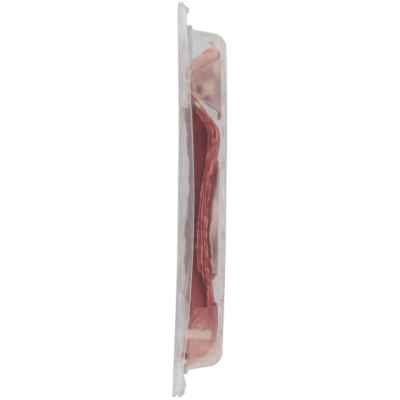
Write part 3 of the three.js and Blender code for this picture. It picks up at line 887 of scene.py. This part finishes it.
# Painted shadow: the seed turns dark brown towards its outline, as the contact shadow round it
edge = add(tree, "LayerWeight", {"Blend": 0.4}).outputs["Facing"]
painted_shadow_rim = mixed_colour(tree, edge, tone, colour(0.24, 0.1, 0.08))
seed_body = add(tree, "BsdfPrincipled", {"Base Color": painted_shadow_rim, "Roughness": 0.5})
add(tree, "OutputMaterial", {"Surface": seed_body.outputs["BSDF"]})
seed.data.materials.append(seed_skin)
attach(seed, "root")
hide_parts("seed")

# Lid film
# Clear film two tenths of a millimetre thick, welded to the flange all round. It is stretched flat across the
# tray with faint slack waves, and follows the flange down at its edges.
FILM_SHEET = 0.2
SEAL_GAP = 0.3
FILM_STEP = 4.0
SLACK = {"height": 0.1, "along": 9.0, "bend": 17.0, "across": 23.0}
SLACK_FROM = WIDTH / 2 - FLANGE
SLACK_FULL = WIDTH / 2 - 3 * FLANGE

flat, faces, border = rounded_fill(root_corner, FILM_STEP)
x, y = flat.T
inside = smooth(SLACK_FROM, SLACK_FULL, np.abs(y))
waves = np.sin(x / SLACK["along"] + np.sin(y / SLACK["bend"])) * np.cos(y / SLACK["across"])
sheet = Sheet(flat, RIM_HEIGHT + end_lift(x) + SLACK["height"] * inside * waves, faces, border)
sheet.grow_flange(flange_hang)
points, faces, facts = sheet.made()
normals = sheet_normals(points, faces)
sealed_points = points + normals * (TRAY_SHEET + SEAL_GAP)
film, edge_faces = closed_sheet("lid_film_sheet", sealed_points, faces, normals, FILM_SHEET, facts)
clear_film = clear_plastic(
    "clear_film",
    tint=(0.99, 0.99, 0.99, 1.0),
    roughness=0.03,
    wave_height=0.0003,
    wave_scale=45.0,
)
dress_sheet(film, edge_faces, clear_film)
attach(film, "root")
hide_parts("lid_film")

# Studio
# A plain pale floor under an even white surround, a large soft lamp above and another by the camera. The
# surround lights the meat most from the front, and shows grey through the plastic and in its reflections.
# The floor is a hair below the pack, out of sight in a level view, and its glow lights the pack unseen.
FLOOR_HALF = 1.0
FLOOR_DROP = 0.00003
FLOOR_GLOW = (0.48, 0.48, 0.48, 1.0)
FLOOR_TONES = ((0.72, 0.72, 0.72, 1.0), (0.76, 0.76, 0.76, 1.0))
BLACK = (0.0, 0.0, 0.0, 1.0)

corners = [(x * FLOOR_HALF, y * FLOOR_HALF, -FLOOR_DROP) for x, y in [(-1, -1), (1, -1), (1, 1), (-1, 1)]]
floor_mesh = bpy.data.meshes.new("studio_floor")
floor_mesh.from_pydata(corners, [], [(0, 1, 2, 3)])
floor = bpy.data.objects.new("studio_floor", floor_mesh)
bpy.context.scene.collection.objects.link(floor)
floor_material = new_material("pale_floor")
tree = floor_material.node_tree
grain = add(tree, "TexNoise", {"Vector": add(tree, "TexCoord").outputs["Object"], "Scale": 300.0})
seen = add(tree, "LightPath").outputs["Is Camera Ray"]
floor_body = add(tree, "BsdfPrincipled", {
    "Base Color": mixed_colour(tree, grain.outputs["Fac"], *FLOOR_TONES),
    "Roughness": 0.9,
    "Specular IOR Level": 0.1,
    "Emission Color": mixed_colour(tree, seen, FLOOR_GLOW, BLACK),
    "Emission Strength": 1.0,
})
add(tree, "OutputMaterial", {"Surface": floor_body.outputs["BSDF"]})
floor.data.materials.append(floor_material)

WHITE = (1.0, 1.0, 1.0, 1.0)
VEIL = 0.48
LIT_FRONT = 1.22
LIT_BACK = 0.75

world = bpy.data.worlds.new("white_surround")
world.use_nodes = True
tree = world.node_tree
tree.nodes.clear()
direction = add(tree, "SeparateXYZ", {"Vector": add(tree, "TexCoord").outputs["Generated"]})
lit = add(tree, "MapRange", {
    "Value": direction.outputs["Y"],
    "From Min": -1.0,
    "From Max": 1.0,
    "To Min": LIT_FRONT,
    "To Max": LIT_BACK,
})
rays = add(tree, "LightPath")
unveiled = add(tree, "Math", {0: rays.outputs["Transparent Depth"], 1: 0.5}, operation="LESS_THAN")
direct = add(tree, "Math", {0: rays.outputs["Is Camera Ray"], 1: unveiled.outputs[0]}, operation="MULTIPLY")
shown = mixed_value(tree, direct.outputs[0], VEIL, 1.0)
backdrop = mixed_value(tree, rays.outputs["Is Diffuse Ray"], shown, lit.outputs["Result"])
surround = add(tree, "Background", {"Color": WHITE, "Strength": backdrop})
add(tree, "OutputWorld", {"Surface": surround.outputs["Background"]})
bpy.context.scene.world = world
bpy.context.scene.view_settings.view_transform = "Standard"

# Light goes through many sheets of plastic one behind another, so it takes many steps
CLEAR_STEPS = 48
LIGHT_STEPS = 24

bpy.context.scene.cycles.transparent_max_bounces = CLEAR_STEPS
bpy.context.scene.cycles.max_bounces = LIGHT_STEPS
bpy.context.scene.cycles.transmission_bounces = LIGHT_STEPS

LAMP_SIZE = 1.2
LAMP_POWER = 1.5


def soft_lamp(name, place):
    """A square lamp that shines from its place towards the pack."""
    light = bpy.data.lights.new(name, "AREA")
    light.size = LAMP_SIZE
    light.energy = LAMP_POWER
    lamp = bpy.data.objects.new(name, light)
    lamp.location = place
    x, y, z = place
    lamp.rotation_euler = (math.atan2(math.hypot(x, y), z), 0.0, math.atan2(x, -y))
    bpy.context.scene.collection.objects.link(lamp)


soft_lamp("top_lamp", (0.2, -0.2, 1.2))
soft_lamp("front_lamp", (0.3, -1.5, 0.5))

# Camera
# It looks level along the table at the near long side, rolled a quarter turn so that the lid is at the left
# and +X at the top. The lens is shifted up to the middle of the pack.
CAMERA_DISTANCE = 6.0
FRAME_SPAN = 243.0
AIM_HEIGHT = 16.0
ROLL = math.radians(0.73)

lens = bpy.data.cameras.new("camera")
lens.sensor_width = 36.0
lens.lens = lens.sensor_width * (CAMERA_DISTANCE - WIDTH / 2 * MM) / (FRAME_SPAN * MM)
lens.shift_x = -AIM_HEIGHT / FRAME_SPAN
camera = bpy.data.objects.new("camera", lens)
quarter_turn = Matrix(((0, 1, 0), (0, 0, -1), (-1, 0, 0))).to_4x4()
stand = Matrix.Translation((0, -CAMERA_DISTANCE, 0))
camera.matrix_world = stand @ quarter_turn @ Matrix.Rotation(ROLL, 4, "Z")
bpy.context.scene.collection.objects.link(camera)
bpy.context.scene.camera = camera
